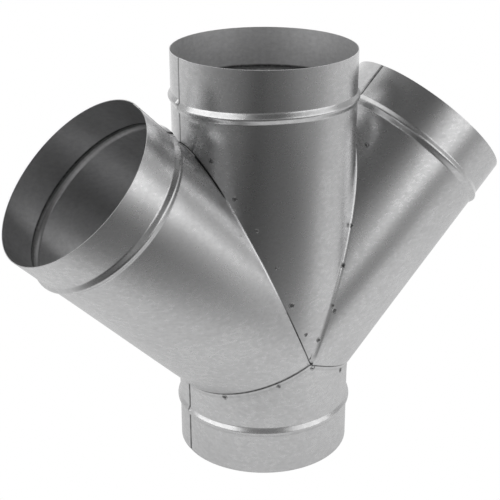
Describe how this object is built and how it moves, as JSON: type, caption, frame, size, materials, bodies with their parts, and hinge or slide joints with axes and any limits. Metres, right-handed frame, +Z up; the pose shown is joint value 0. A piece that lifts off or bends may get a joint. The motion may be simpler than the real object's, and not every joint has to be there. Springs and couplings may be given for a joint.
{
  "type": "four-way duct splitter",
  "caption": "Galvanised round duct splitter: a base collar leads into a straight centre tube with slanted branches at its sides, each spigot with a stiffening bead.",
  "frame": {"origin": "centre of the base collar's mouth, on the floor the fitting stands on", "axes": "+Z up along the base collar and the centre tube, +X towards the right branch as seen in the picture, +Y away from the viewer"},
  "size_m": [0.4391, 0.1534, 0.346],
  "materials": {
    "galvanised_steel": "galvanised sheet steel, satin, with a faint spangle"
  },
  "bodies": {
    "root": {"base_collar": "galvanised_steel", "centre_tube": "galvanised_steel", "left_branch": "galvanised_steel", "right_branch": "galvanised_steel"}
  },
  "joints": []
}
